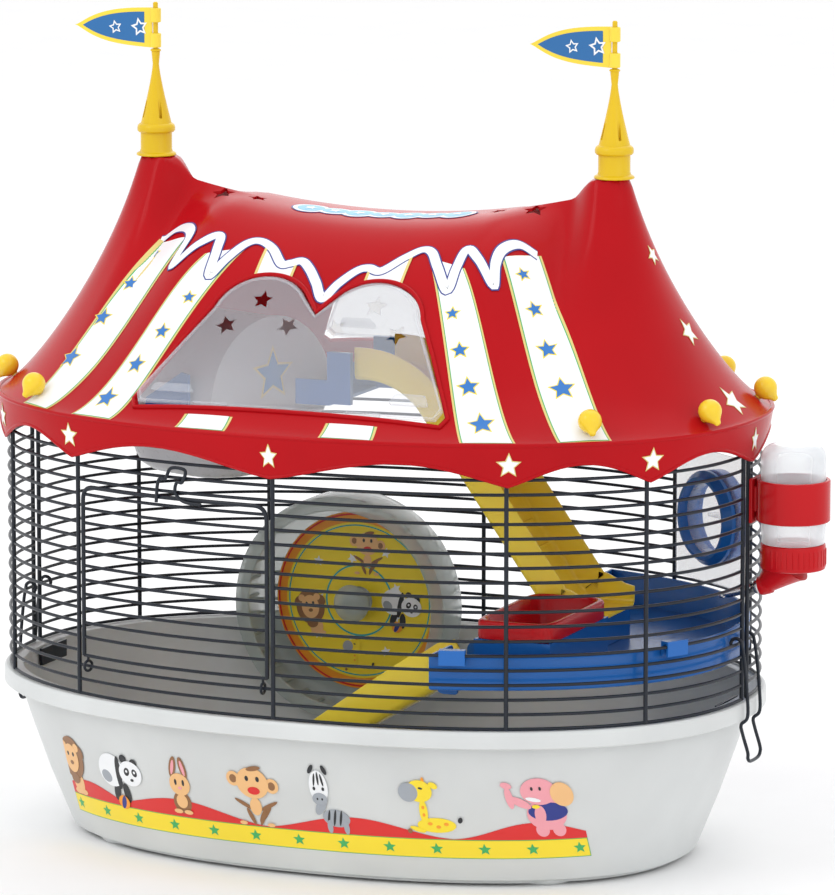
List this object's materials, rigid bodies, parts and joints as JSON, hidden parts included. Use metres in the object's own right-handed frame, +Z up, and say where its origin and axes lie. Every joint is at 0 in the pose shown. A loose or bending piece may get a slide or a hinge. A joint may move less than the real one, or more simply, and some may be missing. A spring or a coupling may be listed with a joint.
{
  "type": "hamster cage",
  "caption": "Oval hamster cage: deep tray, wire walls with a drop door, tent-shaped roof with windows and flags, wheel, slide, ramp, nest, bottle and tube port.",
  "frame": {"origin": "bottom centre of the tray, on the surface it stands on", "axes": "+X towards the end with the drinking bottle, -Y the front with the drop door, +Z up"},
  "size_m": [0.5461, 0.351, 0.5258],
  "materials": {
    "white_plastic": "moulded, semi-matte",
    "dark_wire": "powder coated, satin",
    "red_plastic": "gloss",
    "yellow_plastic": "gloss",
    "flag_plastic": "gloss, with printed faces",
    "clear_plastic": "clear",
    "milky_plastic": "translucent white",
    "blue_plastic": "gloss",
    "slide_plastic": "translucent amber",
    "wheel_plastic": "translucent grey",
    "steel": "polished"
  },
  "bodies": {
    "base": {"tray": "white_plastic", "rim_catch_left": "dark_wire", "rim_catch_right": "dark_wire", "cage_front": "dark_wire", "cage_rear": "dark_wire", "platform": "blue_plastic", "platform_hook_front": "blue_plastic", "platform_hook_end": "blue_plastic", "bowl_stand": "blue_plastic", "landing_block": "blue_plastic", "upper_slide": "slide_plastic", "upper_shelf": "blue_plastic", "nest_bowl": "milky_plastic", "nest_side_wall": "blue_plastic", "wheel_bracket": "wheel_plastic", "wheel_axle": "steel", "port_plate": "clear_plastic", "port_ring": "blue_plastic", "ramp_pin": "slide_plastic"},
    "door": {"door": "dark_wire", "door_latch": "dark_wire"},
    "clip_left": {"clip_left": "dark_wire"},
    "clip_right": {"clip_right": "dark_wire"},
    "roof": {"roof_shell": "red_plastic", "spire_left": "yellow_plastic", "spire_right": "yellow_plastic", "bulb_1": "yellow_plastic", "bulb_2": "yellow_plastic", "bulb_3": "yellow_plastic", "bulb_4": "yellow_plastic", "bulb_5": "yellow_plastic", "bulb_6": "yellow_plastic", "bulb_7": "yellow_plastic", "bulb_8": "yellow_plastic"},
    "window_front": {"window_front": "clear_plastic"},
    "window_rear": {"window_rear": "clear_plastic"},
    "flag_left": {"flag_left": "flag_plastic"},
    "flag_right": {"flag_right": "flag_plastic"},
    "nest_house": {"nest_house": "milky_plastic"},
    "food_bowl": {"food_bowl": "red_plastic"},
    "lower_ramp": {"lower_ramp": "slide_plastic"},
    "wheel": {"wheel_drum": "wheel_plastic", "wheel_cap": "wheel_plastic"},
    "bottle": {"bottle_holder": "red_plastic", "bottle_flask": "clear_plastic", "bottle_cap": "red_plastic", "spout_sleeve": "steel", "spout_tube": "steel", "spout_ball": "steel"},
    "port_cap": {"port_cap": "clear_plastic"}
  },
  "joints": [
    {"name": "door_hinge", "type": "hinge", "parent": "base", "child": "door", "pos_m": [-0.0715, -0.1575, 0.1259], "axis": [0.9858, -0.1677, 0], "range_deg": [0, 105]},
    {"name": "clip_left_hinge", "type": "hinge", "parent": "base", "child": "clip_left", "pos_m": [-0.2426, 0, 0.1439], "axis": [0, 1, 0], "range_deg": [0, 100]},
    {"name": "clip_right_hinge", "type": "hinge", "parent": "base", "child": "clip_right", "pos_m": [0.2426, 0, 0.1439], "axis": [0, -1, 0], "range_deg": [0, 100]},
    {"name": "roof_lift", "type": "slide", "parent": "base", "child": "roof", "axis": [0, 0, 1], "range_m": [0, 0.25]},
    {"name": "window_front_hinge", "type": "hinge", "parent": "roof", "child": "window_front", "pos_m": [0, -0.1483, 0.29597], "axis": [1, 0, 0], "range_deg": [0, 100]},
    {"name": "window_rear_hinge", "type": "hinge", "parent": "roof", "child": "window_rear", "pos_m": [0, 0.1483, 0.29597], "axis": [-1, 0, 0], "range_deg": [0, 100]},
    {"name": "flag_left_swing", "type": "hinge", "parent": "roof", "child": "flag_left", "pos_m": [-0.156, 0, 0.5093], "axis": [0, 0, 1], "continuous": true},
    {"name": "flag_right_swing", "type": "hinge", "parent": "roof", "child": "flag_right", "pos_m": [0.156, 0, 0.5093], "axis": [0, 0, 1], "continuous": true},
    {"name": "nest_house_lift", "type": "slide", "parent": "base", "child": "nest_house", "axis": [0, 0, 1], "range_m": [0, 0.02]},
    {"name": "food_bowl_lift", "type": "slide", "parent": "base", "child": "food_bowl", "axis": [0, 0, 1], "range_m": [0, 0.05]},
    {"name": "lower_ramp_hinge", "type": "hinge", "parent": "base", "child": "lower_ramp", "pos_m": [0.092, -0.112, 0.126], "axis": [0, 1, 0], "range_deg": [0, 30]},
    {"name": "wheel_spin", "type": "hinge", "parent": "base", "child": "wheel", "pos_m": [-0.073, 0.1345, 0.123], "axis": [0, 1, 0], "continuous": true},
    {"name": "bottle_off", "type": "slide", "parent": "base", "child": "bottle", "axis": [0.9563, 0, 0.2924], "range_m": [0, 0.06]},
    {"name": "port_cap_out", "type": "slide", "parent": "base", "child": "port_cap", "axis": [0.591, 0.8067, 0], "range_m": [0, 0.03]}
  ]
}
